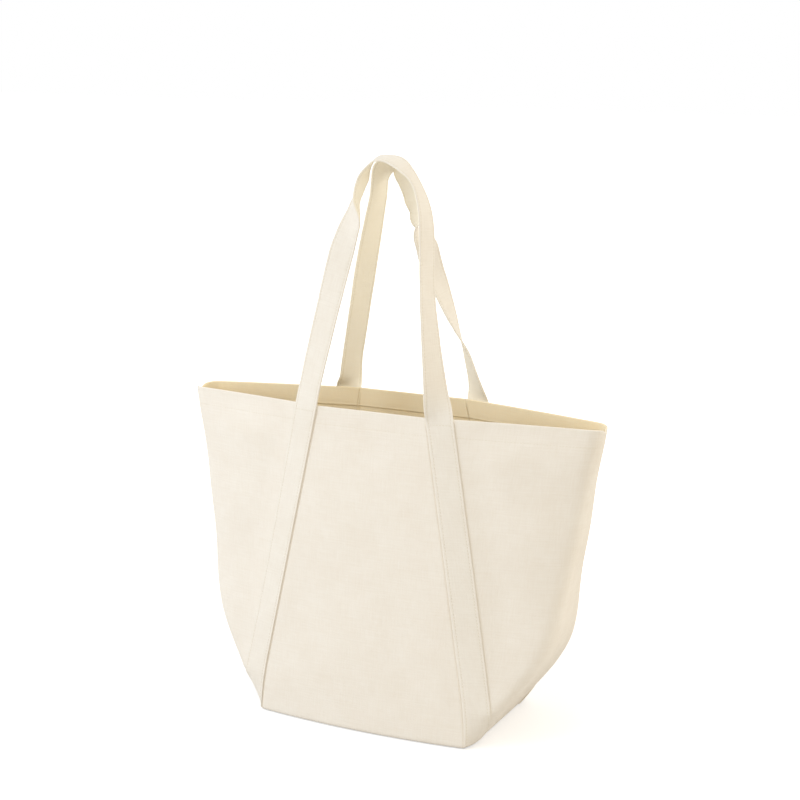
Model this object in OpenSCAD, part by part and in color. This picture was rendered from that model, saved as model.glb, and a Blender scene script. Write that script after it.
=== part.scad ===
/* [Bag body] */
// Height of the rim where the straps cross it
rim_h = 350; // [280:5:430]
// Width of the rim from one side fold to the other
rim_w = 495; // [420:5:580]
// Gap between the front and the back of the rim, at the straps
rim_d = 102; // [70:2:140]
// How much lower the rim is at the side folds than at the straps
rim_dip = 5; // [0:1:15]
// Width of the front and back panels at the rim, between the straps
panel_w = 130; // [90:2:170]
// How far the front and back panels swell outwards at the base
belly = 8; // [0:1:16]
/* [Base] */
// Width of the base
base_w = 260; // [220:5:300]
// Depth of the base
base_d = 164; // [130:2:190]
// How far the walls curl in under the bag at the base seam
tuck_in = 3; // [1:0.5:6]
// Height over which the walls curl in
tuck_h = 7; // [4:1:12]
/* [Side folds] */
// Width across the bag where the base triangles of the sides end
fold_w = 408; // [340:4:440]
// Height at which the base triangles of the sides end
fold_h = 96; // [70:2:130]
// Half the width of the flat fold at the rim
fold_flat = 6; // [3:1:10]
// Largest rounding beside the flat fold
fold_round = 16; // [4:1:24]
/* [Cloth and straps] */
// Thickness of one layer of canvas
cloth_t = 1.2; // [0.8:0.1:2]
// Depth of the hem that is turned in at the rim
hem_h = 22; // [12:1:35]
// Width of the straps
strap_w = 30; // [22:1:36]
// Thickness of the straps, folded canvas
strap_t = 2.4; // [1.6:0.2:4]
// Rise of the handles above the rim, along their own lean
handle_rise = 271; // [200:5:340]
// Inward lean of the front handle, in degrees
front_lean = 7; // [5:0.5:7.5]
// Inward lean of the back handle, in degrees
back_lean = 7.5; // [5:0.5:8]
/* [Hidden] */

// Sewn pieces of cloth that lie on each other keep this small space
ease = 0.25;
// Near the base corners the straps stand this much further off the sides, most at the height given
strap_lift = 0.8;
strap_lift_h = 30;
// The foot of each strap is caught in the base seam, this far above the ground
strap_foot = 2;
// Base corners: the side panel starts this far in from the two edges of the base
corner_cut = [5, 14];
// Height over which the corner cut fades out of the seam
corner_h = 60;
// Softness of the fold's outline where the base triangle ends
outline_soft = 15;
// Softness of the base triangle's two creases, as a share of the base's depth
crease_share = 0.55;
// Largest share of a side's facet that the bend beside its fold may take
bend_share = 0.55;
// Height of the small slope that the hem's turned edge makes inside
hem_step = 0.6;
// Rows up the walls, columns across the front panel, a side facet, a crease, a flat fold and a strap
rows = 18;
front_cols = 10;
facet_cols = 8;
crease_cols = 6;
flat_cols = 2;
strap_cols = 10;
// Rings between two rows of a handle's route
route_steps = 3;

// Each handle's route from its left root to its right one: sideways place, rise, turn and slant of the strap.
// The turn is 0 where the strap lies flat to the handle's plane, and 90 where it stands across it.
// The slant runs a fold across the strap at an angle: its outer edge turns that much sooner.
route_span = 79;
route_top = 271;
front_route = [[-79, 0, 14, 0], [-69, 53, 11, 0], [-52.5, 131, 4, 0], [-45, 168, 2, -0.1],
               [-42, 190, 4, -0.5], [-39.5, 206, 18, -0.9], [-36, 219, 66, -0.9], [-30, 231, 80, -0.4],
               [-24.5, 243, 86, 0], [-12, 261, 80, 0], [6, 270, 84, 0], [26, 263, 96, 0], [39, 245, 95, 0],
               [47, 217, 88, 0], [53, 184, 84, 0], [57.5, 132, 84, 0], [64.5, 80, 75, 0], [72, 34, 58, 0],
               [76, 15, 34, 0], [79, 0, 14, 0]];
back_route = [[-79, 0, 14, 0], [-77.5, 6, 34, 0], [-75.5, 14, 52, 0], [-72, 33, 66, 0], [-65, 61, 70, 0],
              [-48, 132, 68, 0], [-34.5, 184, 72, 0], [-25, 222, 76, 0], [-21, 241, 70, 0],
              [-13, 255, 60, 0], [-2, 258, 48, 0], [8, 251, 38, 0], [15, 235, 26, 0], [20, 213, 16, 0],
              [23, 200, 22, -0.5], [26, 188, 66, -0.8], [29, 177, 102, -0.4], [34.5, 157, 106, 0],
              [43.5, 124, 98, 0], [52, 96, 83, 0], [58, 80, 71, 0], [64, 64, 59, 0], [69, 50, 50, 0],
              [75, 25, 41, 0], [78, 10, 30, 0], [79, 0, 14, 0]];

function mix(a, b, t) = a + (b - a) * t;
function unit(v) = v / norm(v);
function last(list) = list[len(list) - 1];
function flatten(lists) = [for (list = lists) for (item = list) item];
function low_of(a, b, soft) = (a + b - sqrt(pow(a - b, 2) + soft * soft)) / 2;
function high_of(a, b, soft) = (a + b + sqrt(pow(a - b, 2) + soft * soft)) / 2;

// The seam between a front panel and a side panel, at a share t of the height
function corner_share(t) = pow(max(0, 1 - t * rim_h / corner_h), 2);
function seam_x(t) = mix(base_w, panel_w, t) / 2 - corner_cut[0] * corner_share(t);
function seam_y(t) = mix(base_d, rim_d, t) / 2;

// Outline of the side fold, and half the width of its flat
function fold_x(t) = let (z = t * rim_h,
                          low = mix(base_w, fold_w, z / fold_h) / 2,
                          high = mix(fold_w, rim_w, (z - fold_h) / (rim_h - fold_h)) / 2)
    low_of(low, high, outline_soft);
function fold_y(t) = let (span = base_d / 2 - corner_cut[1],
                          line = span * (1 - t * rim_h / fold_h),
                          edge = seam_y(t) - corner_cut[1] * max(0, 1 - t * rim_h / fold_h))
    min(high_of(line, fold_flat, crease_share * base_d), edge);

// Front panel's outline in plan, from its left seam to its right one
function front_path(t) = [for (i = [0 : front_cols]) let (q = 2 * i / front_cols - 1)
    [q * seam_x(t), -seam_y(t) - belly * (1 - q * q) * cos(90 * t)]];

// Half of the right side panel's outline in plan, from the front seam to the middle of the fold
function bend(a, corner, b, t) = a * pow(1 - t, 2) + corner * 2 * t * (1 - t) + b * pow(t, 2);
function half_side_path(t) =
    let (seam = [seam_x(t), -seam_y(t)], fold = [fold_x(t), -fold_y(t)],
         along = unit(fold - seam), r = min(fold_y(t), fold_round),
         start = fold - along * min(r, bend_share * norm(fold - seam)), end = fold + [0, r])
    concat([for (i = [0 : facet_cols]) mix(seam, start, i / facet_cols)],
           [for (i = [1 : crease_cols]) bend(start, fold, end, i / crease_cols)],
           [for (i = [1 : flat_cols]) mix(end, [fold[0], 0], i / flat_cols)]);
function side_path(t) = let (half = half_side_path(t), n = len(half))
    concat(half, [for (i = [n - 2 : -1 : 0]) [half[i][0], -half[i][1]]]);

// A path moved outwards by a distance, with the direction of the piece that it meets at each end
function outward(a, b) = unit([b[1] - a[1], a[0] - b[0]]);
function moved(path, out, before, after) = [for (i = [0 : len(path) - 1])
    let (na = i == 0 ? before : outward(path[i - 1], path[i]),
         nb = i == len(path) - 1 ? after : outward(path[i], path[i + 1]),
         m = unit(na + nb))
    path[i] + m * out / max(0.4, m * nb)];
function front_end(t) = let (p = front_path(t)) outward(p[front_cols - 1], p[front_cols]);
function side_start(t) = let (p = half_side_path(t)) outward(p[0], p[1]);
function flip_x(v) = [-v[0], v[1]];
function flip_y(v) = [v[0], -v[1]];
function tuck(t) = tuck_in * (1 - sqrt(1 - pow(max(0, 1 - t * rim_h / tuck_h), 2)));
function tucked(t, path) = [for (p = path)
    [p[0] * (1 - 2 * tuck(t) / base_w), p[1] * (1 - 2 * tuck(t) / base_d)]];
function front_at(t, out) = tucked(t, moved(front_path(t), out, flip_x(side_start(t)), side_start(t)));
function side_at(t, out) = tucked(t, moved(side_path(t), out, front_end(t), flip_y(front_end(t))));

// Height of a point of a wall: the rim dips towards the side folds
function point_h(t, y) = t * (rim_h - rim_dip * pow(max(0, 1 - abs(y) / seam_y(t)), 2));

// Heights of the rows, as shares, close together near the base; the hem adds two rows
hem_t = 1 - hem_h / rim_h;
wall_levels = concat([for (i = [0 : rows - 1]) hem_t * pow(i / rows, 1.6)],
                     [hem_t - hem_step / rim_h, hem_t, 1]);
function wall_depth(t) = t < hem_t ? cloth_t : 2 * cloth_t;
function front_row(t, out) = [for (p = front_at(t, out)) [p[0], p[1], t * rim_h]];
function side_row(t, out) = let (plain = side_path(t), path = side_at(t, out))
    [for (i = [0 : len(path) - 1]) [path[i][0], path[i][1], point_h(t, plain[i][1])]];

// A closed sheet between two grids of points that have the same rows and columns
module sheet(outer, inner) {
    cols = len(outer[0]);
    k = len(outer) * cols;
    rings = len(outer) - 1;
    quads = concat(
        [for (r = [0 : rings - 1]) for (c = [0 : cols - 2]) let (a = r * cols + c)
            [a, a + cols, a + cols + 1, a + 1]],
        [for (r = [0 : rings - 1]) for (c = [0 : cols - 2]) let (a = k + r * cols + c)
            [a, a + 1, a + cols + 1, a + cols]],
        [for (c = [0 : cols - 2]) [c, c + 1, k + c + 1, k + c]],
        [for (c = [0 : cols - 2]) let (a = rings * cols + c) [a + 1, a, k + a, k + a + 1]],
        [for (r = [0 : rings - 1]) let (a = r * cols) [a + cols, a, k + a, k + a + cols]],
        [for (r = [0 : rings - 1]) let (a = r * cols + cols - 1) [a, a + cols, k + a + cols, k + a]]);
    polyhedron(concat(flatten(outer), flatten(inner)),
               flatten([for (q = quads) [[q[0], q[1], q[2]], [q[0], q[2], q[3]]]]));
}

module front_wall() {
    sheet([for (t = wall_levels) front_row(t, 0)], [for (t = wall_levels) front_row(t, -wall_depth(t))]);
}

module right_wall() {
    sheet([for (t = wall_levels) side_row(t, 0)], [for (t = wall_levels) side_row(t, -wall_depth(t))]);
}

// The point of a path at a distance from its start
function walk(path, s, i = 0) = let (step = norm(path[i + 1] - path[i]))
    s <= step || i == len(path) - 2 ? mix(path[i], path[i + 1], s / step) : walk(path, s - step, i + 1);

// A strap sewn on the side panel beside its seam, from the base seam to the rim
strap_levels = concat([strap_foot / rim_h], [for (t = wall_levels) if (t * rim_h > strap_foot + 1) t]);
function strap_gap(t) = ease + strap_lift * max(0, 1 - pow(t * rim_h / strap_lift_h - 1, 2));
function strap_row(t, out) = let (path = side_at(t, strap_gap(t) + out)) [for (i = [0 : strap_cols])
    let (p = walk(path, strap_w * i / strap_cols)) [p[0], p[1], point_h(t, p[1])]];
module right_strap() {
    sheet([for (t = strap_levels) strap_row(t, strap_t)], [for (t = strap_levels) strap_row(t, 0)]);
}

// The middle of the strap where it crosses the rim: the root of a handle
root = walk(side_at(1, ease + strap_t / 2), strap_w / 2);

// A smooth curve through the rows of a route
function through(a, b, c, d, t) = 0.5 * (2 * b + (c - a) * t + (2 * a - 5 * b + 4 * c - d) * t * t
                                         + (3 * b - a - 3 * c + d) * t * t * t);
function smooth(rows) = let (n = len(rows), ends = [2 * rows[0] - rows[1], 2 * last(rows) - rows[n - 2]],
                             p = concat([ends[0]], rows, [ends[1]]))
    concat([for (i = [0 : n - 2]) for (j = [0 : route_steps - 1])
        through(p[i], p[i + 1], p[i + 2], p[i + 3], j / route_steps)], [last(rows)]);
function sized(route) = [for (r = route)
    [r[0] * root[0] / route_span, r[1] * handle_rise / route_top, r[2], r[3]]];

// From a handle's leaning plane to the bag: sideways, up the plane, and across it towards the middle
function placed(p, lean) = [p[0], root[1] + sin(lean) * p[1] + cos(lean) * p[2],
                            rim_h + ease + cos(lean) * p[1] - sin(lean) * p[2]];
// A corner of an end ring slides along the strap until it is level with the rim
function level(p, dir) = p + dir * (rim_h + ease - p[2]) / dir[2];
function ring(curve, i, lean) =
    let (n = len(curve) - 1, a = curve[max(0, i - 1)], b = curve[min(n, i + 1)],
         t = unit([b[0] - a[0], b[1] - a[1]]), out = [-t[1], t[0]], turn = curve[i][2],
         across = out * cos(turn) + t * curve[i][3], mid = [curve[i][0], curve[i][1], 0],
         wide = [across[0], across[1], sin(turn)] * strap_w / 2,
         thick = [out[0] * sin(turn), out[1] * sin(turn), -cos(turn)] * strap_t / 2,
         along = placed([t[0], t[1], 0], lean) - placed([0, 0, 0], lean),
         corners = [for (s = [[1, 1], [1, -1], [-1, -1], [-1, 1]])
             placed(mid + wide * s[0] + thick * s[1], lean)])
    i == 0 || i == n ? [for (p = corners) level(p, along)] : corners;

// A strap swept along a route, as one closed solid with four edges
module handle(route, lean) {
    curve = smooth(sized(route));
    n = len(curve);
    polyhedron(flatten([for (i = [0 : n - 1]) ring(curve, i, lean)]),
               concat([[0, 1, 2], [0, 2, 3]],
                      flatten([for (i = [0 : n - 2]) for (j = [0 : 3])
                          let (a = 4 * i + j, b = 4 * i + (j + 1) % 4) [[a, a + 4, b + 4], [a, b + 4, b]]]),
                      [let (e = 4 * (n - 1)) [e, e + 3, e + 2], let (e = 4 * (n - 1)) [e, e + 2, e + 1]]));
}

canvas = [0.95, 0.92, 0.85];
side_canvas = [0.92, 0.87, 0.78];
strap_canvas = [0.93, 0.89, 0.81];

module front_panel() { color(canvas) front_wall(); }
module back_panel() { color(canvas) mirror([0, 1, 0]) front_wall(); }
module right_side_panel() { color(side_canvas) right_wall(); }
module left_side_panel() { color(side_canvas) mirror([1, 0, 0]) right_wall(); }
module base_panel() {
    front = front_at(0, -cloth_t);
    side = side_at(0, -cloth_t);
    half = concat([for (i = [1 : front_cols]) front[i]], [for (i = [1 : len(side) - 1]) side[i]]);
    color(canvas) linear_extrude(cloth_t) polygon(concat(half, [for (p = half) -p]));
}
module front_right_strap() { color(strap_canvas) right_strap(); }
module front_left_strap() { color(strap_canvas) mirror([1, 0, 0]) right_strap(); }
module back_right_strap() { color(strap_canvas) mirror([0, 1, 0]) right_strap(); }
module back_left_strap() { color(strap_canvas) mirror([0, 1, 0]) mirror([1, 0, 0]) right_strap(); }
module front_handle() { color(strap_canvas) handle(front_route, front_lean); }
module back_handle() { color(strap_canvas) mirror([0, 1, 0]) handle(back_route, back_lean); }

front_panel();
back_panel();
left_side_panel();
right_side_panel();
base_panel();
front_left_strap();
front_right_strap();
back_left_strap();
back_right_strap();
front_handle();
back_handle();
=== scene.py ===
# %% [markdown]
# # A trapeze bag in natural canvas
# The bag is sewn from four walls, a base and two long straps. This lesson builds each of those pieces as a
# surface worked out with numpy, gives them woven cotton as their material, and sets them in plain soft light.
# The solids of the bag are loaded first, because every piece has to sit where its solid sits.

import math

import bpy
import numpy as np
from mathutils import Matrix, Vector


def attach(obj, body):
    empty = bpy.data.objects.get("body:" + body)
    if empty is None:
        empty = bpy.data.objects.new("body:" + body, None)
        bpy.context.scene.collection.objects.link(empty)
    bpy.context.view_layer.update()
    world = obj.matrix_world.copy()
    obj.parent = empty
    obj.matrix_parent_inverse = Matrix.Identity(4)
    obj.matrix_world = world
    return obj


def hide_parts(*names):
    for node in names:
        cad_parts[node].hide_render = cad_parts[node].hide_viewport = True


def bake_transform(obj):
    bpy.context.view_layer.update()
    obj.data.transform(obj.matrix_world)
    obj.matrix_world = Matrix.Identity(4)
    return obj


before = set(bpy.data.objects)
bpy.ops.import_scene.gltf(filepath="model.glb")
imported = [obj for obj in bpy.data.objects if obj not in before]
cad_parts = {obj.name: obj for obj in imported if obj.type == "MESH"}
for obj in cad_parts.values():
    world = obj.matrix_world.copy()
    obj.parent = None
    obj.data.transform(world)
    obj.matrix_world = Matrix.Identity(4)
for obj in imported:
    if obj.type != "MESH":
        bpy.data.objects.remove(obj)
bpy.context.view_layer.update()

# %% [markdown]
# ## The bag's measures
# All lengths below are millimetres, as a pattern cutter would note them, and turn into metres only when a
# mesh is made. A height on the bag is given as a share t, 0 at the base and 1 at the rim.

# %% Measures of the bag
RIM_H, RIM_W, RIM_D, RIM_DIP = 350.0, 495.0, 102.0, 5.0
BASE_W, BASE_D, PANEL_W, BELLY = 260.0, 164.0, 130.0, 8.0
FOLD_W, FOLD_H, FOLD_FLAT, FOLD_ROUND, FOLD_IN, FOLD_SOFT = 408.0, 96.0, 6.0, 16.0, 14.0, 15.0
CORNER_CUT, CORNER_H, CURL, CURL_H = 5.0, 60.0, 2.2, 5.0
CLOTH, HEM, HEM_STITCH, STRAP_W, EASE = 1.2, 22.0, RIM_H - 19.0, 30.0, 0.25
FRONT_LEAN, BACK_LEAN = math.radians(7.0), math.radians(7.5)


def mix(a, b, t):
    """a at t = 0, b at t = 1, straight in between."""
    return a + (b - a) * t


def low_of(a, b, soft):
    """The lower of a and b, rounded off where they cross: half of a + b less the root of (a - b)^2 + soft^2."""
    return (a + b - np.sqrt((a - b) ** 2 + soft * soft)) / 2


def high_of(a, b, soft):
    """The higher of a and b, rounded off where they cross."""
    return (a + b + np.sqrt((a - b) ** 2 + soft * soft)) / 2


def ease_in(x, width):
    """0 at x = 0 and 1 from x = width on, as a smooth step."""
    s = np.clip(x / width, 0, 1)
    return s * s * (3 - 2 * s)


def unit(v):
    """Each vector over its own length."""
    return v / np.maximum(np.linalg.norm(v, axis=-1, keepdims=True), 1e-9)


def run_along(points):
    """Distance along each line of points from its first point: the running sum of the gaps between them."""
    gap = np.linalg.norm(np.diff(points, axis=-2), axis=-1)
    return np.concatenate([0 * gap[..., :1], np.cumsum(gap, -1)], -1)


def flip_x(v):
    """A plan vector with left for right."""
    return v * np.array([-1.0, 1.0])


def flip_y(v):
    """A plan vector with front for back."""
    return v * np.array([1.0, -1.0])


print("bag", RIM_W, "wide,", RIM_H, "high, straps", STRAP_W, "wide")

# %% [markdown]
# ## The bag's plan at any height
# A front panel narrows from 260 mm at the base to 130 mm at the rim, and a side panel runs from the front
# seam out to a fold and back to the rear seam. Modelling them by hand would mean pushing points about, so
# each panel is a formula instead: the same plan line, drawn at every height.


# %% Seams and folds
def seam_at(t):
    """Seam between front and side: the half width and half depth shrink in a straight line with the height."""
    cut = CORNER_CUT * np.maximum(0, 1 - t * RIM_H / CORNER_H) ** 2
    return mix(BASE_W, PANEL_W, t) / 2 - cut, mix(BASE_D, RIM_D, t) / 2


def fold_at(t):
    """Side fold: two straight lines that meet where the base triangle ends, and the fold's half width."""
    z = t * RIM_H
    below, above = mix(BASE_W, FOLD_W, z / FOLD_H) / 2, mix(FOLD_W, RIM_W, (z - FOLD_H) / (RIM_H - FOLD_H)) / 2
    out = low_of(below, above, FOLD_SOFT)
    line = (BASE_D / 2 - FOLD_IN) * (1 - z / FOLD_H)
    edge = mix(BASE_D, RIM_D, t) / 2 - FOLD_IN * np.maximum(0, 1 - z / FOLD_H)
    return out, np.minimum(high_of(line, FOLD_FLAT, 0.55 * BASE_D), edge)


def front_plan(t, q):
    """Plan line of the front: x is q times the seam's x, and y bows out by the belly, most at the base."""
    x, y = seam_at(t[:, None])
    return np.stack([q * x, -y - BELLY * (1 - q * q) * np.cos(np.pi / 2 * t[:, None])], -1)


def side_plan(t, facet, crease, flat):
    """Plan line of the right side: straight to the bend, a quadratic bend, straight to the middle, mirrored."""
    sx, sy = seam_at(t)
    fx, fy = fold_at(t)
    seam, fold = np.stack([sx, -sy], -1)[:, None], np.stack([fx, -fy], -1)[:, None]
    along, length = unit(fold - seam), np.linalg.norm(fold - seam, axis=-1, keepdims=True)
    r = np.minimum(fy, FOLD_ROUND)[:, None, None]
    start, end = fold - along * np.minimum(r, 0.55 * length), fold + r * np.array([0, 1.0])
    c = crease[None, :, None]
    half = np.concatenate([
        mix(seam, start, facet[None, :, None]),
        start * (1 - c) ** 2 + fold * 2 * c * (1 - c) + end * c * c,
        mix(end, end * np.array([1.0, 0.0]), flat[None, :, None]),
    ], 1)
    return np.concatenate([half, flip_y(half[:, -2::-1])], 1)


def turned(step):
    """Unit normals of steps along a plan line: each step turned a quarter, to point out of the bag."""
    return unit(np.stack([step[..., 1], -step[..., 0]], -1))


def outward(plan, before, after):
    """Normals at a plan line's points, mitred with the next piece's own normals before and after the line."""
    n = turned(np.diff(plan, axis=1))
    a, b = np.concatenate([before, n], 1), np.concatenate([n, after], 1)
    m = unit(a + b)
    return m / np.maximum(0.4, (m * b).sum(-1, keepdims=True))


def first_way(plan):
    """Normal of a plan line's first stretch."""
    return turned(plan[:, 1:2] - plan[:, :1])


def tucked(t, plan):
    """Near the ground the walls curl in towards the base seam, along a quarter circle."""
    curl = CURL * (1 - np.sqrt(1 - np.maximum(0, 1 - t * RIM_H / CURL_H) ** 2))[:, None, None]
    return plan * (1 - 2 * curl / np.array([BASE_W, BASE_D]))


def height_of(t, y):
    """Height of a wall point: the rim dips a little towards the side folds, and more at the folds themselves."""
    half = mix(BASE_D, RIM_D, t)[:, None] / 2
    corner = 2.0 * np.exp(-((y / 5.0) ** 2)) * ease_in(t[:, None] - 0.9, 0.1)
    return t[:, None] * (RIM_H - RIM_DIP * np.maximum(0, 1 - np.abs(y) / half) ** 2) - corner


print("seam at the rim", [round(float(v), 1) for v in seam_at(np.array(1.0))])

# %% [markdown]
# ## Soft cloth
# Canvas never hangs as a perfect plane. Wide, low waves are added to the walls, as a sum of a few cosines
# that run in different directions. A seeded generator picks them, so the bag comes out the same every time.


# %% Waves in the cloth
def waves(u, v, seed, short=70.0, long=210.0, count=9):
    """Sum of cosines of random direction and length between short and long, scaled to about -1 to 1."""
    rng = np.random.default_rng(seed)
    way, length, phase = rng.uniform(0, np.pi, count), rng.uniform(short, long, count), rng.uniform(0, 6.28, count)
    total = 0
    for a, l, p in zip(way, length, phase):
        total = total + np.cos(2 * np.pi * (u * np.cos(a) + v * np.sin(a)) / l + p) * (l / long)
    return total / (0.55 * count)


print("wave sample", round(float(waves(np.array(10.0), np.array(20.0), 3)), 3))

# %% [markdown]
# ## From a grid of points to a mesh
# A wall is a closed shell: a grid of points for its outer face, one for its inner face, and strips that join
# their edges. It could be a plane with a thickness modifier, but then the hem couldn't be thicker than the
# rest. Threads and straps are tubes. All are written into the mesh as whole arrays, which is quick.


# %% Mesh makers
def new_object(name, points, quads, uv=None, inside=None, flat=0):
    """Puts points (in millimetres) and faces into a mesh object, with a UV pair per point and a side per face.
    The last faces, as many as flat says, aren't smoothed, so that a cut edge stays crisp."""
    mesh = bpy.data.meshes.new(name)
    mesh.vertices.add(len(points))
    mesh.vertices.foreach_set("co", (points * 0.001).astype(np.float32).ravel())
    mesh.loops.add(quads.size)
    mesh.loops.foreach_set("vertex_index", quads.astype(np.int32).ravel())
    mesh.polygons.add(len(quads))
    mesh.polygons.foreach_set("loop_start", np.arange(0, quads.size, quads.shape[1], dtype=np.int32))
    mesh.polygons.foreach_set("use_smooth", np.arange(len(quads)) < len(quads) - flat)
    if uv is not None:
        layer = mesh.uv_layers.new(name="cloth")
        layer.data.foreach_set("uv", (uv[quads.ravel()] * 0.001).astype(np.float32).ravel())
    if inside is not None:
        mesh.polygons.foreach_set("material_index", inside.astype(np.int32))
    mesh.update(calc_edges=True)
    mesh.validate()
    obj = bpy.data.objects.new(name, mesh)
    bpy.context.scene.collection.objects.link(obj)
    return obj


def strip(a, b):
    """Quads between two lines of point numbers."""
    return np.stack([a[:-1], a[1:], b[1:], b[:-1]], -1)


def grid_faces(g):
    """Quads between the neighbours of a grid of point numbers."""
    return np.stack([g[:-1, :-1], g[:-1, 1:], g[1:, 1:], g[1:, :-1]], -1).reshape(-1, 4)


def shell_faces(rows, cols):
    """Quads of a closed shell: outer grid, inner grid turned over, and strips round the four edges."""
    outer = np.arange(rows * cols).reshape(rows, cols)
    inner = outer + rows * cols
    return np.concatenate([
        grid_faces(outer), grid_faces(inner)[:, ::-1],
        strip(inner[0], outer[0]), strip(outer[-1], inner[-1]),
        strip(outer[:, 0], inner[:, 0]), strip(inner[:, -1], outer[:, -1]),
    ])


def mirrored(points, quads, axis):
    """The other hand of a piece: one axis changes sign, and the faces turn over to stay outward."""
    flip = np.ones(3)
    flip[axis] = -1
    return points * flip, quads[:, ::-1]


print("a shell of 3 by 3 points has", len(shell_faces(3, 3)), "faces")

# %% [markdown]
# ## The wall's own edges
# At the rim the canvas is turned in by 22 mm and stitched, so a wall is twice as thick there and ends in a
# round fold. The heights of the rows crowd together at that fold, at the hem's lower edge and at the base.

# %% Rows up a wall
row_z = np.concatenate([
    np.linspace(0, 8, 9), np.linspace(11, 324, 84), [326, 327, 327.5, 327.9, 328.3, 328.8, 329.5, 330.3, 331, 331.7],
    np.linspace(333, 347, 8), [348, 348.7, 349.2, 349.55, 349.8, 349.93, 350],
])
row_t = row_z / RIM_H
hem_in = 1 - ease_in(RIM_H - HEM + 0.6 - row_z, 1.2)
edge_in = CLOTH * (1 - np.sqrt(np.clip(1 - (np.maximum(0, row_z - (RIM_H - CLOTH)) / CLOTH) ** 2, 0.002, 1)))
stitch_in = 0.1 * np.exp(-((row_z - HEM_STITCH) / 1.2) ** 2)
outer_in = edge_in + stitch_in
inner_in = CLOTH + CLOTH * hem_in - edge_in - stitch_in
print(len(row_z), "rows, wall", round(float(inner_in[40]), 2), "mm, hem", round(float(inner_in[-12]), 2), "mm")


# %% [markdown]
# ## A wall
# The plan line gives the wall's outer face. Waves push it in and out, but not at the seams, the rim or the
# base, where other pieces hold it. The inner face lies one or two cloths further in.


# %% Wall maker
def wall(plan, before, after, swell):
    """Outer face: plan line moved by the swell. Inner face: the same line moved in by the cloth's thickness."""
    n = outward(plan, before, after)
    z = height_of(row_t, plan[..., 1])
    run = run_along(plan)
    across = run - run[:, -1:] / 2
    push = swell(across, z, run)
    faces = [np.dstack([tucked(row_t, plan + n * (push - d[:, None])[..., None]), z]) for d in (outer_in, inner_in)]
    up = np.broadcast_to(run_along(faces[0].mean(1))[:, None], z.shape)
    uv = np.stack([across, up], -1).reshape(-1, 2)
    return np.concatenate([f.reshape(-1, 3) for f in faces]), np.concatenate([uv, uv]), faces[0]


front_q = np.sin(np.linspace(-1, 1, 81) * np.pi / 2)
facet_s = np.concatenate([np.linspace(0, 0.2, 14), np.linspace(0.22, 1, 44)])
crease_s, flat_s = np.linspace(0, 1, 15)[1:], np.linspace(0, 1, 7)[1:]
front_line = front_plan(row_t, front_q)
side_line = side_plan(row_t, facet_s, crease_s, flat_s)
front_way, side_way = first_way(front_line), first_way(side_line)


def front_swell(across, z, run):
    """Low waves over the front, held at its seams, hem and base, and a fine groove where each seam pulls in."""
    edge = np.minimum(run, run[:, -1:] - run)
    hold = ease_in(edge, 30) * ease_in(z, 45) * ease_in(RIM_H - z, 45)
    return hold * 1.7 * waves(across, z, 4) - 0.8 * np.exp(-(((edge - 0.7) / 0.9) ** 2)) * ease_in(RIM_H - 2 - z, 8)


def side_swell(across, z, run):
    """Low waves and a soft bow to each side of the fold, held under the straps, at the hem and the base."""
    clear, half = STRAP_W + 3, run[:, -1:] / 2
    hold = ease_in(run - clear, 40) * ease_in(run[:, -1:] - clear - run, 40) * ease_in(z, 60) * ease_in(RIM_H - z, 50)
    bow = np.sin(np.pi * np.clip((half - np.abs(run - half) - clear) / (half - clear - 12), 0, 1)) * (half / 190) ** 2
    return hold * (2.6 * waves(across, z, 11, 50, 170) + 4.5 * bow)


end_way = flip_x(front_way)
wall_front = wall(front_line, flip_x(side_way), side_way, front_swell)
wall_side = wall(side_line, end_way, flip_y(end_way), side_swell)
print("front wall", wall_front[2].shape, "side wall", wall_side[2].shape)


# %% [markdown]
# ## Put the four walls and the base in place
# The back and the left are the front and the right seen in a mirror, as they are cut from the same pattern. A
# mirror modifier could do that too, but each wall is an object of its own, so the points are mirrored instead.


# %% Four walls
def place_wall(name, made, flips):
    """One wall from its points, mirrored as often as its place asks. Its inner faces take the second material, which
    carries painted warm bounce light.
    """
    points, uv, outer = made
    rows, cols = outer.shape[:2]
    quads, face = shell_faces(rows, cols), (rows - 1) * (cols - 1)
    inside = np.zeros(len(quads))
    inside[face:2 * face] = 1
    for axis in flips:
        points, quads = mirrored(points, quads, axis)
    return new_object(name, points, quads, uv, inside, 2 * (rows - 1))


wall_plan = {
    "front_wall": (wall_front, []), "back_wall": (wall_front, [1]),
    "right_wall": (wall_side, []), "left_wall": (wall_side, [0]),
}
walls = {name: place_wall(name, made, flips) for name, (made, flips) in wall_plan.items()}
print({k: len(o.data.polygons) for k, o in walls.items()})

# %% [markdown]
# ## The base
# The base is one rectangle of canvas, sewn to the walls' feet. A plain box would leave gaps at the bowed front
# and the corners, so its edge is the walls' own foot line, drawn in towards the middle in rings.


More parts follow.
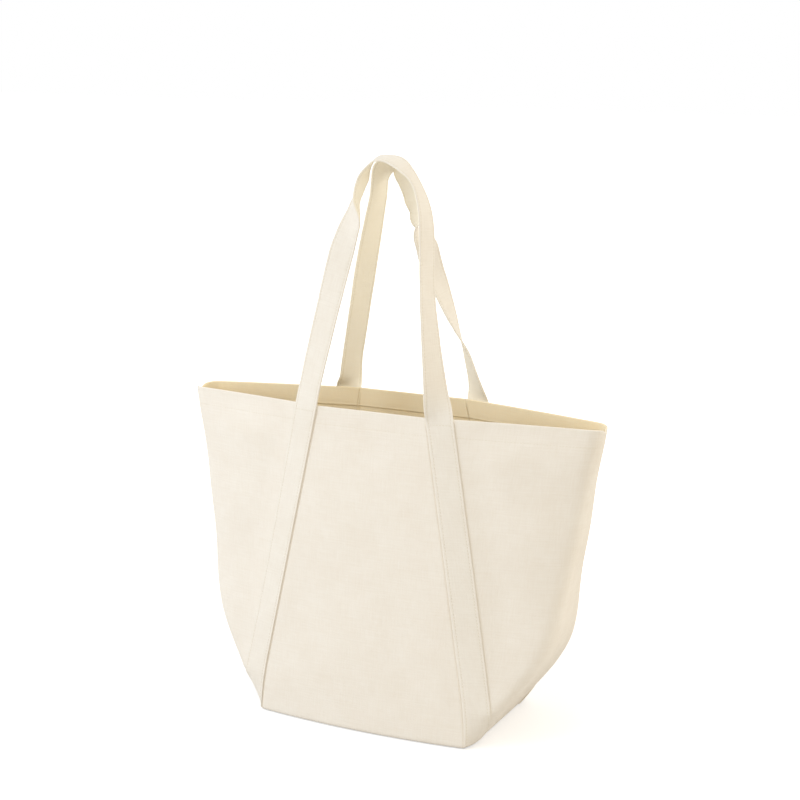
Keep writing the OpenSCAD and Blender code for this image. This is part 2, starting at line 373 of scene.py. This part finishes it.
# %% Base
def base_sheet():
    """Base: the outline of the walls' feet drawn in towards the middle, in rings, as two faces of one cloth."""
    t0 = np.array([0.0])
    front0, side0 = front_plan(t0, front_q), side_plan(t0, facet_s, crease_s, flat_s)
    front = tucked(t0, front0 - CLOTH * outward(front0, flip_x(side_way[:1]), side_way[:1]))
    side = tucked(t0, side0 - CLOTH * outward(side0, end_way[:1], flip_y(end_way[:1])))
    half = np.concatenate([front[0, :-1], side[0, :-1]])
    outline = np.concatenate([half, -half])
    share = np.sin(np.linspace(0.02, 1, 34) * np.pi / 2)[:, None, None]
    ring = outline[None] * share
    sag = 0.35 * waves(ring[..., 0], ring[..., 1], 21, 60, 160) * (1 - share[..., 0] ** 6)
    top = np.dstack([ring, CLOTH + 0.5 * (1 - share[..., 0] ** 8) + sag])
    low = np.dstack([ring, 0 * ring[..., 0] + 0.02])
    rows, cols = ring.shape[:2]
    points = np.concatenate([low.reshape(-1, 3), top.reshape(-1, 3)])
    g = np.arange(rows * cols).reshape(rows, cols)
    g = np.concatenate([g, g[:, :1]], 1)
    h = g + rows * cols
    return points, np.concatenate([grid_faces(g), grid_faces(h)[:, ::-1], strip(g[-1], h[-1])[:, ::-1]])


base_points, base_quads = base_sheet()
base = new_object("base_sheet", base_points, base_quads, base_points[:, :2])
print("base faces", len(base.data.polygons))

# %% [markdown]
# ## The straps' path
# Each strap is one long strip. It is caught in the base seam, runs up beside one front seam, leaves the rim
# as a handle, and comes down beside the other seam. A table gives the handle's way in its own leaning plane:
# sideways, rise and turn in degrees. A smooth curve through the rows gives the rest. A curve object with a
# bevel could carry the strip, but it can't lay a fold askew, so the strip's points are worked out here.

# %% Handle routes
FRONT_ROUTE = np.array([
    [-79, 0, 14], [-69, 53, 11], [-52.8, 131, 4], [-44.9, 165, 0], [-38.6, 183, 5], [-34, 197, 23],
    [-29.8, 208, 23], [-27, 218, 40], [-24.9, 228, 92], [-25.5, 240, 96], [-23.4, 252, 80], [-13.5, 263.6, 70],
    [-0.8, 268, 78], [17.3, 263.7, 77], [38.4, 243.3, 94], [49.5, 217, 88], [54.2, 184, 84], [57.5, 132, 84],
    [64.5, 80, 75], [72, 34, 60], [75.5, 15, 42], [79, 0, 14],
])
BACK_ROUTE = np.array([
    [-79, 0, 14], [-77.5, 5, 42], [-75.5, 12, 58], [-72, 33, 65], [-65.5, 61, 65], [-49, 132, 63],
    [-36, 184, 68], [-26, 222, 76], [-22.1, 241.7, 75], [-14.5, 256.4, 52], [-2.2, 257.5, 51], [1.6, 252, 30],
    [7.8, 241, 28], [12.8, 229, 27], [15.4, 217, 30], [17.4, 206, 40], [16.8, 195, 47], [21.2, 184, 86],
    [28, 172, 112], [30.8, 158, 116], [35.1, 142, 110], [42.5, 124, 98], [52, 96, 83], [58, 80, 71],
    [64, 64, 59], [69, 50, 50], [75, 25, 41], [78, 10, 30], [79, 0, 14],
])
FRONT_DELAY, BACK_DELAY = (21.4, 0.0), (0.0, -4.4)
ROUTE_REACH = FRONT_ROUTE[-1, 0]
strap_c = np.linspace(-1, 1, 41)
MID = len(strap_c) // 2


def through(rows, steps=14):
    """Smooth curve through the rows: each stretch is a cubic whose ends take the slope of their neighbours."""
    p = np.vstack([2 * rows[0] - rows[1], rows, 2 * rows[-1] - rows[-2]])
    a, b, c, d = (p[i:len(p) - 3 + i, None] for i in range(4))
    t = (np.arange(steps) / steps)[None, :, None]
    curve = 0.5 * (2 * b + (c - a) * t + (2 * a - 5 * b + 4 * c - d) * t**2 + (3 * b - a - 3 * c + d) * t**3)
    return np.vstack([curve.reshape(-1, rows.shape[1]), rows[-1:]])


def walk(plan, s):
    """Points of each plan line at the distances s from its start."""
    run = run_along(plan)
    k = np.clip((run[:, None, :] <= s[None, :, None]).sum(-1) - 1, 0, plan.shape[1] - 2)
    r0, r1 = np.take_along_axis(run, k, 1), np.take_along_axis(run, k + 1, 1)
    p0 = np.take_along_axis(plan, k[..., None], 1)
    p1 = np.take_along_axis(plan, k[..., None] + 1, 1)
    return mix(p0, p1, ((s[None] - r0) / (r1 - r0))[..., None])


def thick_at(z):
    """Thickness of the strap: pressed thin where it is sewn down, thinnest in the base seam, full in the handle."""
    return np.interp(z, [0, 10, 60, 320, 356], [0.7, 0.9, 1.2, 1.3, 2.1])


def sewn_run():
    """Middle layer of the strap on the right side panel: the wall's plan, moved out, walked for 30 mm."""
    t = np.concatenate([np.linspace(2, 8, 7), np.linspace(10, 349.2, 170)]) / RIM_H
    out = (EASE + thick_at(t * RIM_H) / 2)[:, None, None]
    plan = side_plan(t, facet_s, crease_s, flat_s)
    front = first_way(front_plan(t, front_q))
    line = tucked(t, plan + outward(plan, flip_x(front), flip_y(flip_x(front))) * out)
    spot = walk(line, (strap_c + 1) / 2 * STRAP_W)
    return np.dstack([spot, height_of(t, spot[..., 1])])


run_right = sewn_run()
root = run_right[-1, MID]
print("strap run", run_right.shape, "root", [round(float(v), 1) for v in root])

# %% [markdown]
# ## The handle
# A flat strap can bend only out of its own plane, so it turns as it climbs and folds over askew at the top. The
# centre line and the turn give each row across the strap. One edge turns a little after the other, as on the
# real strap, which a plain twist of the whole row wouldn't show.


# %% Handle maker
def handle_rows(route, lean, delay):
    """Middle layer of a handle: its centre line, and to each side the sum of small steps across the cloth.
    A step is cos(turn) in the handle's plane and sin(turn) out of it. The turn reaches one edge of the strap
    later than the other, by twice the limb's delay, which lays the fold askew."""
    curve = through(route * np.array([root[0] / ROUTE_REACH, 1.0, 1.0]))
    way = unit(np.gradient(curve[:, :2], axis=0))
    run = run_along(curve[:, :2])
    past = run - run[np.argmax(curve[:, 1])]
    late = delay[0] * np.clip(run / 60, 0, 1) * np.clip(-past / 40, 0, 1)
    late = late + delay[1] * np.clip((run[-1] - run) / 60, 0, 1) * np.clip(past / 30, 0, 1)
    turn = np.radians(np.interp(run[:, None] - late[:, None] * strap_c, run, curve[:, 2]))
    step = np.dstack([-way[:, 1:] * np.cos(turn), way[:, :1] * np.cos(turn), np.sin(turn)])
    wide = np.cumsum((step[:, 1:] + step[:, :-1]) / 2, 1) * STRAP_W / (len(strap_c) - 1)
    wide = np.concatenate([0 * wide[:, :1], wide], 1)
    p = np.concatenate([curve[:, :2], np.zeros((len(curve), 1))], 1)[:, None] + wide - wide[:, MID:MID + 1]
    y = root[1] + np.sin(lean) * p[..., 1] + np.cos(lean) * p[..., 2]
    z = RIM_H + EASE + np.cos(lean) * p[..., 1] - np.sin(lean) * p[..., 2]
    return np.dstack([p[..., 0], y, z])[4:-4]


def strap_frame(rows):
    """Normals of the strip: along crossed with across, which points to the outer face."""
    along, across = np.gradient(rows, axis=0), np.gradient(rows, axis=1)
    return unit(np.cross(along, across))


ROW_STEP = 2.0


def even_rows(rows):
    """The same strip with rows at even distances along its middle."""
    run = run_along(rows[:, MID])
    at = np.linspace(0, run[-1], int(run[-1] / ROW_STEP))
    flat = rows.reshape(len(rows), -1)
    k = np.clip(np.searchsorted(run, at) - 1, 0, len(run) - 2)
    f = ((at - run[k]) / (run[k + 1] - run[k]))[:, None]
    return mix(flat[k], flat[k + 1], f).reshape(len(at), *rows.shape[1:])


def smoothed(rows, reach):
    """Each row averaged with its neighbours, as many as reach on each side, which rounds the bend at the rim."""
    w = np.exp(-0.5 * (np.arange(-reach, reach + 1) / (reach / 2.5)) ** 2)
    pad = np.concatenate([rows[:1].repeat(reach, 0), rows, rows[-1:].repeat(reach, 0)])
    return sum(wk * pad[i:i + len(rows)] for i, wk in enumerate(w / w.sum()))


def creases(side, run, seed, count=26):
    """Narrow dents across the strap, each a bell curve along a slanted line that fades towards one edge."""
    rng = np.random.default_rng(seed)
    total = 0
    for at, tilt, deep, fade in rng.uniform([20, -0.35, 0.15, -1], [1200, 0.35, 0.5, 1], (count, 4)):
        total = total + deep * np.exp(-(((run - at - tilt * side) / 2.4) ** 2)) * (0.5 + 0.5 * fade * side / 15)
    return total


def strap_rows(route, lean, delay):
    """Whole strap: left run going up, handle, right run going down. The free part gets waves and creases."""
    left = run_right * np.array([-1.0, 1.0, 1.0])
    joined = even_rows(np.concatenate([left, handle_rows(route, lean, delay), run_right[::-1]]))
    near_rim = np.exp(-((joined[:, MID, 2] - RIM_H) / 12.0) ** 2)[:, None, None]
    rows = mix(smoothed(joined, 2), smoothed(joined, 7), near_rim)
    free = ease_in(rows[:, MID:MID + 1, 2] - RIM_H - 25, 40)
    side, run = strap_c * STRAP_W / 2, ROW_STEP * np.arange(len(rows))[:, None]
    dent = 0.35 * waves(side, run, 7, 16, 60) - creases(side, run, 5)
    return rows + (free * dent)[..., None] * strap_frame(rows)


front_rows = strap_rows(FRONT_ROUTE, FRONT_LEAN, FRONT_DELAY)
back_rows = strap_rows(BACK_ROUTE, BACK_LEAN, BACK_DELAY)
print("strap rows", len(front_rows), len(back_rows))

# %% [markdown]
# ## The straps' body
# A strap is canvas folded over twice and stitched near both edges. Its section is a flat bar with round
# edges that pulls in a little under the two rows of stitches, and this section is carried along the path.

# %% Straps
STITCH_AT = 0.8
half_c = np.array([1, 0.996, 0.985, 0.965, 0.94, 0.9, 0.86, 0.83, 0.8, 0.77, 0.74, 0.68, 0.5, 0.25, 0.0])
ring_c = np.concatenate([half_c, -half_c[-2::-1]])


def bar(c):
    """Share of the thickness across a strap: full in the middle, round at the edges, pinched under the stitches."""
    edge = np.sqrt(np.clip(1 - (np.maximum(0, np.abs(c) - 0.93) / 0.07) ** 2, 0, 1))
    return edge * (1 - 0.3 * np.exp(-((np.abs(c) - STITCH_AT) / 0.035) ** 2))


def at_c(grid, c):
    """Values of a grid at places c across the strap."""
    f = (np.asarray(c, float) + 1) / 2 * (grid.shape[1] - 1)
    k = np.clip(f.astype(int), 0, grid.shape[1] - 2)
    return mix(grid[:, k], grid[:, k + 1], (f - k)[None, :, None])


def strap_mesh(name, rows, flips):
    """Both faces of the section carried along the rows, closed at the two ends."""
    n = strap_frame(rows)
    spot, way = at_c(rows, ring_c), unit(at_c(n, ring_c))
    h = bar(ring_c)[:, None] * thick_at(rows[:, MID, 2])[:, None, None] / 2
    top, low = spot + way * h, spot - way * h
    ring = np.concatenate([top, low[:, -2:0:-1]], 1)
    count, size = ring.shape[:2]
    g = np.arange(count * size).reshape(count, size)
    g = np.concatenate([g, g[:, :1]], 1)
    quads = np.stack([g[:-1, :-1], g[1:, :-1], g[1:, 1:], g[:-1, 1:]], -1).reshape(-1, 4)
    m = len(ring_c)
    front, back = np.arange(m), np.concatenate([[0], np.arange(size - 1, m - 1, -1), [m - 1]])[:m]
    cap = strip(front, back)
    end = cap + (count - 1) * size
    run = run_along(rows[:, MID])
    across = np.concatenate([ring_c, ring_c[-2:0:-1]]) * STRAP_W / 2
    uv = np.stack(np.broadcast_arrays(across[None], run[:, None]), -1).reshape(-1, 2)
    points, quads = ring.reshape(-1, 3), np.concatenate([quads, cap[1:-1], end[1:-1][:, ::-1]])
    # The strap's inner face takes the second material: the same canvas painted paler, as painted light on that shaded
    # side.
    inside = np.zeros(len(quads))
    inside[:(count - 1) * size] = np.tile(np.arange(size) >= m - 1, count - 1)
    for axis in flips:
        points, quads = mirrored(points, quads, axis)
    return new_object(name, points, quads, uv, inside), float(run[-1])


front_strap, front_length = strap_mesh("front_strap", front_rows, [])
back_strap, back_length = strap_mesh("back_strap", back_rows, [1])
print("strap lengths", round(front_length), round(back_length), "mm")

# %% [markdown]
# ## Stitches
# Every seam shows as a row of short stitches. One stitch is a small bead of thread, thick in the middle and
# sunk at both ends, and a row is many copies of it along a line. A picture of stitches would look flat from
# the side, so each bead is real, with only a few faces. All rows of a piece go into one mesh.


# %% Stitch maker
STITCH_PITCH, STITCH_LENGTH, STRAP_THREAD, WALL_THREAD = 3.4, 2.7, 0.62, 0.42


def stitch_row(line, normal, thick):
    """Beads along a line: four rings of four points each, lifted along the normal in their middle."""
    run = run_along(line)
    count = int(run[-1] / STITCH_PITCH)
    share = np.array([-0.5, -0.22, 0.22, 0.5])
    at = ((np.arange(count) + 0.5) * run[-1] / count)[:, None] + share * STITCH_LENGTH
    pick = lambda v: np.stack([np.interp(at.ravel(), run, v[:, i]) for i in range(3)], -1).reshape(count, 4, 3)
    spot, up = pick(line), unit(pick(normal))
    way = unit(spot[:, -1:] - spot[:, :1])
    side = unit(np.cross(up, way))
    size = np.array([0.35, 1.0, 1.0, 0.35])[None, :, None] * thick / 2
    lift = np.array([-0.25, 0.12, 0.12, -0.25])[None, :, None] * thick
    ring = [spot + up * lift + (side * math.cos(a) + up * math.sin(a)) * size for a in np.arange(4) * math.pi / 2]
    points = np.stack(ring, 2).reshape(-1, 3)
    g = np.arange(16).reshape(4, 4)
    j = [1, 2, 3, 0]
    sides = np.stack([g[:-1], g[1:], g[1:][:, j], g[:-1][:, j]], -1).reshape(-1, 4)
    one = np.concatenate([sides, [[0, 1, 2, 3]], [[15, 14, 13, 12]]])
    return points, (one[None] + 16 * np.arange(count)[:, None, None]).reshape(-1, 4)


def thread_object(name, rows, flips, thick=STRAP_THREAD):
    """All stitch rows of a piece as one mesh."""
    points, quads, so_far = [], [], 0
    for line, normal in rows:
        p, q = stitch_row(line, normal, thick)
        points.append(p)
        quads.append(q + so_far)
        so_far += len(p)
    points, quads = np.concatenate(points), np.concatenate(quads)
    for axis in flips:
        points, quads = mirrored(points, quads, axis)
    return new_object(name, points, quads, points[:, :2])


def strap_threads(name, rows, flips):
    """Two rows on the strap's outer face from end to end, and two on its inner face over the handle."""
    n = strap_frame(rows)
    line, way = at_c(rows, [-STITCH_AT, STITCH_AT]), at_c(n, [-STITCH_AT, STITCH_AT])
    lift = thick_at(rows[:, MID:MID + 1, 2]) / 2 * 0.72
    free = np.flatnonzero(rows[:, MID, 2] > RIM_H + 2)
    free = slice(free[0], free[-1])
    rows_of = [(line[:, i] + way[:, i] * lift, way[:, i]) for i in (0, 1)]
    rows_of += [(line[free, i] - way[free, i] * lift[free], -way[free, i]) for i in (0, 1)]
    return thread_object(name, rows_of, flips)


front_thread = strap_threads("front_strap_thread", front_rows, [])
back_thread = strap_threads("back_strap_thread", back_rows, [1])
print("strap stitches", len(front_thread.data.vertices) // 16, len(back_thread.data.vertices) // 16)

# %% [markdown]
# ## The hem's stitches
# One row holds the turned hem, 19 mm below the rim, and shows on both faces of each wall. It follows a row of
# the wall's own points, so it stays on the cloth through every wave.


# %% Stitches on the body
def grid_normals(points):
    """Normals of a grid of points: across crossed with up, pointing out of the bag."""
    return unit(np.cross(np.gradient(points, axis=1), np.gradient(points, axis=0)))


def wall_rows(outer):
    """Lines of stitches on one wall: the hem's row, outside and, two cloths further in, inside."""
    k = int(np.argmin(np.abs(row_z - HEM_STITCH)))
    line, n = outer[k, 1:-1], grid_normals(outer)[k, 1:-1]
    return [(line, n), (line - n * (2 * CLOTH - 0.5), -n)]


body_threads = {
    name + "_thread": thread_object(name + "_thread", wall_rows(made[2]), flips, WALL_THREAD)
    for name, (made, flips) in wall_plan.items()
}
print("body stitches", {k: len(o.data.vertices) // 16 for k, o in body_threads.items()})

# %% [markdown]
# ## The stitches that hold the straps
# Just below the rim one row crosses each strap and takes the pull of the handle.


# %% Stitches across the straps at the rim
def cross_rows(rows):
    """One line of stitches across each sewn run, just below the rim."""
    n = strap_frame(rows)
    below = np.flatnonzero(rows[:, MID, 2] < RIM_H - 4.5)
    cut = np.flatnonzero(np.diff(below) > 1)[0]
    c = np.linspace(-STITCH_AT, STITCH_AT, 25)
    lines = []
    for k in (below[cut], below[cut + 1]):
        spot, up = at_c(rows[k:k + 1], c)[0], at_c(n[k:k + 1], c)[0]
        lines.append((spot + up * thick_at(rows[k, MID, 2]) / 2, up))
    return lines


rim_threads = {
    "front_cross_thread": thread_object("front_cross_thread", cross_rows(front_rows), []),
    "back_cross_thread": thread_object("back_cross_thread", cross_rows(back_rows), [1]),
}
print("cross stitches", [len(o.data.vertices) // 16 for o in rim_threads.values()])

# %% [markdown]
# ## Woven cotton
# Natural canvas is a plain weave: each thread goes over one and under the next. Two wave textures, one for
# each way of the thread, make that as a bump, on the cloth's own UV map, which is in metres. Slubs, the
# thicker stretches of thread, are noise that is stretched along each way, and a wide noise clouds the colour.
# A photo of canvas could do it too, but it would repeat and stretch, and these nodes have no edges.


# %% Material makers
def node_of(tree, kind, **settings):
    """One shader node, with its settings."""
    made = tree.nodes.new(kind)
    for key, value in settings.items():
        if key in made.inputs:
            made.inputs[key].default_value = value
        else:
            setattr(made, key, value)
    return made


WEAVE_PITCH = 0.0009


def canvas(name, pale, deep):
    """Plain weave on the UV map: colour clouds and slubs, and a bump of two crossed waves."""
    mat = bpy.data.materials.new(name)
    mat.use_nodes = True
    tree = mat.node_tree
    link = tree.links.new
    shader = tree.nodes["Principled BSDF"]
    shader.inputs["Roughness"].default_value = 0.92
    shader.inputs["Specular IOR Level"].default_value = 0.25
    shader.inputs["Sheen Weight"].default_value = 0.12
    shader.inputs["Sheen Roughness"].default_value = 0.5
    uv = node_of(tree, "ShaderNodeTexCoord")

    def stretched(x, y, scale, detail):
        """Noise on the cloth, with its own scale each way."""
        place = node_of(tree, "ShaderNodeMapping")
        place.inputs["Scale"].default_value = (x, y, 1)
        noise = node_of(tree, "ShaderNodeTexNoise", Scale=scale, Detail=detail, Roughness=0.6)
        link(uv.outputs["UV"], place.inputs["Vector"])
        link(place.outputs["Vector"], noise.inputs["Vector"])
        return noise.outputs["Fac"]

    def math_of(kind, a, b):
        """One piece of arithmetic on two values, each a number or a socket."""
        m = node_of(tree, "ShaderNodeMath", operation=kind)
        for i, v in enumerate((a, b)):
            if isinstance(v, (int, float)):
                m.inputs[i].default_value = v
            else:
                link(v, m.inputs[i])
        return m.outputs[0]

    cloud = stretched(1, 1, 26, 5)
    weft, warp = stretched(0.05, 1, 620, 2), stretched(1, 0.08, 620, 2)
    slub = math_of("MULTIPLY", math_of("ADD", weft, warp), 0.5)
    tone = math_of("ADD", math_of("MULTIPLY", cloud, 0.4), math_of("MULTIPLY", slub, 0.6))
    ramp = node_of(tree, "ShaderNodeValToRGB")
    ramp.color_ramp.elements[0].position, ramp.color_ramp.elements[1].position = 0.3, 0.68
    ramp.color_ramp.elements[0].color, ramp.color_ramp.elements[1].color = (*deep, 1), (*pale, 1)
    link(tone, ramp.inputs["Fac"])
    link(ramp.outputs["Color"], shader.inputs["Base Color"])

    bands = []
    for way in ("X", "Y"):
        wave = node_of(tree, "ShaderNodeTexWave", wave_type="BANDS", bands_direction=way, Distortion=1.2)
        wave.inputs["Scale"].default_value = 0.314 / WEAVE_PITCH
        wave.inputs["Detail Scale"].default_value = 0.6
        link(uv.outputs["UV"], wave.inputs["Vector"])
        bands.append(wave.outputs["Fac"])
    weave = math_of("MULTIPLY", bands[0], bands[1])
    height = math_of("ADD", math_of("MULTIPLY", weave, 0.5), math_of("MULTIPLY", slub, 1.1))
    bump = node_of(tree, "ShaderNodeBump", Strength=0.55, Distance=0.0005)
    link(height, bump.inputs["Height"])
    link(bump.outputs["Normal"], shader.inputs["Normal"])
    return mat


def thread(name, colour):
    """Cotton thread: plain colour with a fine twist from noise along the stitch."""
    mat = bpy.data.materials.new(name)
    mat.use_nodes = True
    tree = mat.node_tree
    shader = tree.nodes["Principled BSDF"]
    shader.inputs["Roughness"].default_value = 0.75
    shader.inputs["Sheen Weight"].default_value = 0.2
    place = node_of(tree, "ShaderNodeTexCoord")
    noise = node_of(tree, "ShaderNodeTexNoise", Scale=2600.0, Detail=2.0)
    ramp = node_of(tree, "ShaderNodeValToRGB")
    ramp.color_ramp.elements[0].color = (*[0.82 * c for c in colour], 1)
    ramp.color_ramp.elements[1].color = (*colour, 1)
    tree.links.new(place.outputs["Object"], noise.inputs["Vector"])
    tree.links.new(noise.outputs["Fac"], ramp.inputs["Fac"])
    tree.links.new(ramp.outputs["Color"], shader.inputs["Base Color"])
    return mat


wall_canvas = canvas("natural_canvas", (0.895, 0.84, 0.755), (0.83, 0.755, 0.65))
# The walls' inner faces are the same cloth, coloured warmer, more golden and a little brighter: painted warm light
# bouncing inside the bag.
canvas_painted_bounce = canvas("canvas_inside_painted_bounce_light", (0.985, 0.875, 0.645), (0.96, 0.815, 0.56))
strap_canvas = canvas("strap_canvas", (0.89, 0.84, 0.755), (0.82, 0.75, 0.65))
# The straps' inner faces are the same canvas painted paler and a little warmer: painted light that lifts the shade on
# them.
strap_canvas_painted_light = canvas("strap_inside_painted_light", (0.98, 0.925, 0.8), (0.95, 0.875, 0.72))
cotton_thread = thread("cotton_thread", (0.87, 0.79, 0.65))
print("materials", [m.name for m in (wall_canvas, canvas_painted_bounce, strap_canvas, strap_canvas_painted_light, cotton_thread)])

# %% [markdown]
# ## Ride and hide
# Each wall, the base and the stitches on the body stand for solids, which are hidden, and ride the bag's body.
# The strap is sewn down at both ends and free in the middle. It is one piece that curves over the few
# millimetres above the rim; the solids it stands for are hidden, and it stays where it is built, on no body.

# %% Bodies
stands_for = {
    "front_wall": "front_panel", "back_wall": "back_panel", "right_wall": "right_side_panel",
    "left_wall": "left_side_panel",
}
for name, obj in walls.items():
    obj.data.materials.append(wall_canvas)
    # second material: the same canvas with painted warm bounce light, for the inner faces
    obj.data.materials.append(canvas_painted_bounce)
    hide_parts(stands_for[name])
    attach(obj, "bag")
base.data.materials.append(wall_canvas)
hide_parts("base_panel")
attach(base, "bag")
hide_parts("front_left_strap", "front_right_strap", "front_handle")
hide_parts("back_left_strap", "back_right_strap", "back_handle")
for obj in (front_strap, back_strap):
    obj.data.materials.append(strap_canvas)
    # second material: the same canvas painted paler, as painted light for the inner faces
    obj.data.materials.append(strap_canvas_painted_light)
for obj in (front_thread, back_thread):
    obj.data.materials.append(cotton_thread)
for obj, side in ((front_strap, -1), (front_thread, -1), (back_strap, 1), (back_thread, 1)):
    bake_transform(obj)
for obj in (*body_threads.values(), *rim_threads.values()):
    obj.data.materials.append(cotton_thread)
    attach(obj, "bag")

# %% [markdown]
# ## The cut sizes of the cloth
# A maker knows a piece by its cut size, the flat size before it is sewn and hung. The straps' lengths are
# measured on the mesh, since the route decides them; the other cut sizes are not listed in this script.

# %% Sheets
print("strap lengths are printed with the straps")

# %% [markdown]
# ## Floor and world
# The bag stands on a white floor in front of white, under even light that is a little warm. A floor that is
# only lit would look grey, and one that only glows would show no shadow, so it does some of both. Its own glow
# is for the camera alone and doesn't light the bag.


# %% Floor and world
def direct_rays(tree):
    """1 for a ray from the camera, a mirror or a glass, and 0 for the light that surfaces send each other."""
    ray = node_of(tree, "ShaderNodeLightPath")
    total = ray.outputs["Is Camera Ray"]
    for kind in ("Is Glossy Ray", "Is Transmission Ray"):
        seen = node_of(tree, "ShaderNodeMath", operation="MAXIMUM")
        tree.links.new(total, seen.inputs[0])
        tree.links.new(ray.outputs[kind], seen.inputs[1])
        total = seen.outputs[0]
    return total


def floor_material():
    """White floor: a lit white, and more white of its own for the camera, the less the nearer to the bag."""
    mat = bpy.data.materials.new("white_floor")
    mat.use_nodes = True
    tree = mat.node_tree
    shader = tree.nodes["Principled BSDF"]
    shader.inputs["Base Color"].default_value = (0.69, 0.67, 0.64, 1)
    shader.inputs["Roughness"].default_value = 1.0
    shader.inputs["Specular IOR Level"].default_value = 0.0
    gain = node_of(tree, "ShaderNodeMath", operation="MULTIPLY")
    place = node_of(tree, "ShaderNodeTexCoord")
    away = node_of(tree, "ShaderNodeVectorMath", operation="LENGTH")
    own = node_of(tree, "ShaderNodeMapRange")
    for key, value in (("From Min", 0.2), ("From Max", 0.9), ("To Min", 0.46), ("To Max", 1.0)):
        own.inputs[key].default_value = value
    tree.links.new(place.outputs["Object"], away.inputs[0])
    tree.links.new(away.outputs["Value"], own.inputs["Value"])
    tree.links.new(own.outputs["Result"], gain.inputs[1])
    tree.links.new(direct_rays(tree), gain.inputs[0])
    shader.inputs["Emission Color"].default_value = (0.93, 0.96, 1.0, 1)
    tree.links.new(gain.outputs[0], shader.inputs["Emission Strength"])
    return mat


floor_points = np.array([[-9e3, -9e3, -0.6], [9e3, -9e3, -0.6], [9e3, 9e3, -0.6], [-9e3, 9e3, -0.6]])
floor = new_object("floor", floor_points, np.array([[0, 1, 2, 3]]))
floor.data.materials.append(floor_material())

world = bpy.data.worlds.new("studio")
bpy.context.scene.world = world
world.use_nodes = True
sky = world.node_tree
glow = sky.nodes["Background"]
glow.inputs["Color"].default_value = (0.965, 0.945, 0.895, 1)
glow.inputs["Strength"].default_value = 0.89
backdrop = node_of(sky, "ShaderNodeBackground")
backdrop.inputs["Color"].default_value = (1, 1, 1, 1)
backdrop.inputs["Strength"].default_value = 1.0
choice = node_of(sky, "ShaderNodeMixShader")
sky.links.new(direct_rays(sky), choice.inputs["Fac"])
sky.links.new(glow.outputs["Background"], choice.inputs[1])
sky.links.new(backdrop.outputs["Background"], choice.inputs[2])
sky.links.new(choice.outputs["Shader"], sky.nodes["World Output"].inputs["Surface"])
bpy.context.scene.view_settings.view_transform = "Standard"
print("floor and world ready")

# %% [markdown]
# ## Lamps
# A cool, large lamp at the front left and a small warm one at the front right make the cloth turn warmer from
# left to right, and a third lights the handles from behind. Large lamps give the soft edges of a photo tent.

# %% Lamps
AIM = (0, 0, 0.3)


def soft_lamp(name, place, size, power, colour):
    """A square area lamp at a place, turned to the middle of the bag."""
    lamp = bpy.data.lights.new(name, "AREA")
    lamp.shape, lamp.size, lamp.energy, lamp.color = "SQUARE", size, power, colour
    obj = bpy.data.objects.new(name, lamp)
    bpy.context.scene.collection.objects.link(obj)
    way = np.array(AIM, float) - np.array(place, float)
    obj.location = place
    obj.rotation_euler = Vector(way).to_track_quat("-Z", "Y").to_euler()
    return obj


soft_lamp("left_lamp", (-2.0, -1.8, 1.8), 2.6, 47.5, (0.755, 0.85, 1.0))
soft_lamp("warm_lamp", (1.6, -1.9, 1.5), 1.8, 4, (1.0, 0.82, 0.5))
soft_lamp("rear_lamp", (2.2, 1.5, 1.3), 1.8, 24, (1.0, 0.93, 0.8))

# %% [markdown]
# ## Camera
# The camera stands to the right of the front and a little above it, with a long lens that keeps the sides
# nearly straight. Its three directions were found by fitting the bag's corners, and are given as they are.

# %% Camera
eye = bpy.data.cameras.new("camera")
eye.lens, eye.sensor_width, eye.clip_end = 81.0, 36.0, 60.0
camera = bpy.data.objects.new("camera", eye)
bpy.context.scene.collection.objects.link(camera)
right, up, ahead = (0.895322, 0.445406, -0.003362), (-0.098141, 0.204626, 0.973908), (-0.434472, 0.871632, -0.226920)
spin = np.array([right, up, [-v for v in ahead]]).T
camera.rotation_euler = Matrix(spin.tolist()).to_euler()
camera.location = (0.85968, -1.70584, 0.79730)
bpy.context.scene.camera = camera
print("camera", [round(v, 3) for v in camera.location])
